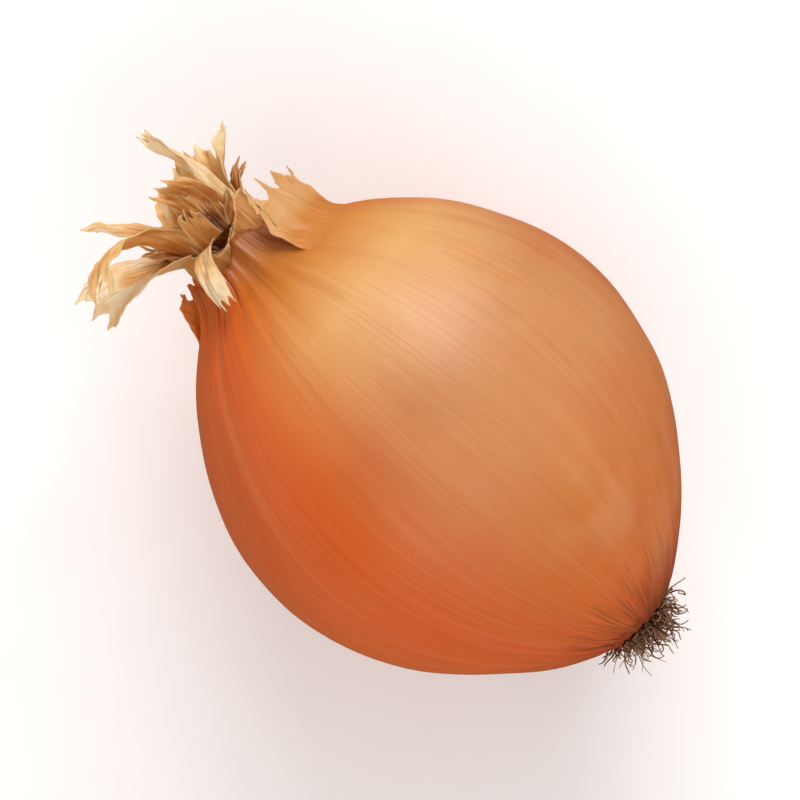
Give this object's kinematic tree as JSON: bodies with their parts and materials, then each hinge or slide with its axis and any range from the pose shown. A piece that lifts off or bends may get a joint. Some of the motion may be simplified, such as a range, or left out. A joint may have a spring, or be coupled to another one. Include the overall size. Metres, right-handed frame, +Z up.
{
  "type": "onion",
  "caption": "Whole brown onion lying on its side: ribbed papery bulb, dry neck with torn curled leaf ends, and a tuft of dry roots; rests on a small flat spot.",
  "frame": {"origin": "middle of the flat spot under the bulb that the onion rests on", "axes": "+Z up, away from the surface; +X along the onion from the root end to the neck, which is raised a few degrees; +Y to its left"},
  "size_m": [0.1025, 0.0647, 0.065],
  "materials": {
    "onion_skin": "satin papery skin with fine lengthwise veins",
    "dry_leaf": "matt, dry, crinkled",
    "dry_root": "matt, dry, fibrous"
  },
  "bodies": {
    "root": {"bulb": "onion_skin", "dry_neck": "dry_leaf", "root_tuft": "dry_root"}
  },
  "joints": []
}
